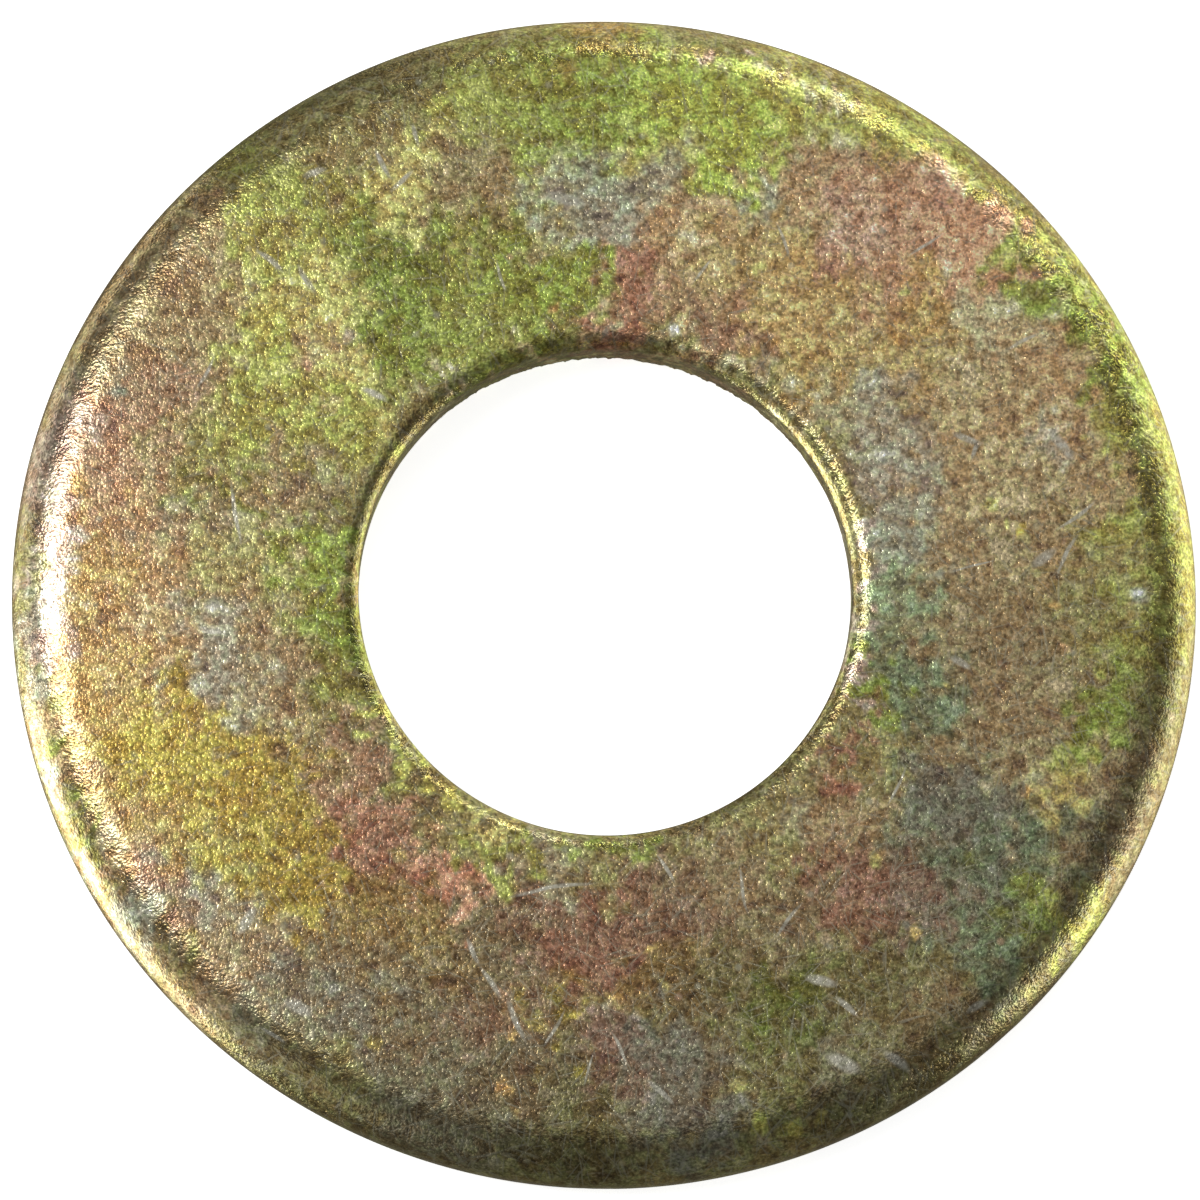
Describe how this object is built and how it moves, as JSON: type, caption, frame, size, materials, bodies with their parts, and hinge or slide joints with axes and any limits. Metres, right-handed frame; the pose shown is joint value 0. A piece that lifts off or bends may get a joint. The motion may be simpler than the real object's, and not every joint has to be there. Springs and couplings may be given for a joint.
{
  "type": "flat washer",
  "caption": "Round flat steel washer with a central bolt hole, one face rolled over at both edges, yellow passivated zinc finish.",
  "frame": {"origin": "on the bore's axis, at the back face", "axes": "+Z along the bore axis, out of the face with the rolled edges; X and Y are any two directions across the round washer"},
  "size_m": [0.035, 0.035, 0.0026],
  "materials": {
    "yellow_zinc": "zinc plate with a yellow iridescent passivated film over a fine hammered grain"
  },
  "bodies": {
    "root": {"washer": "yellow_zinc"}
  },
  "joints": []
}
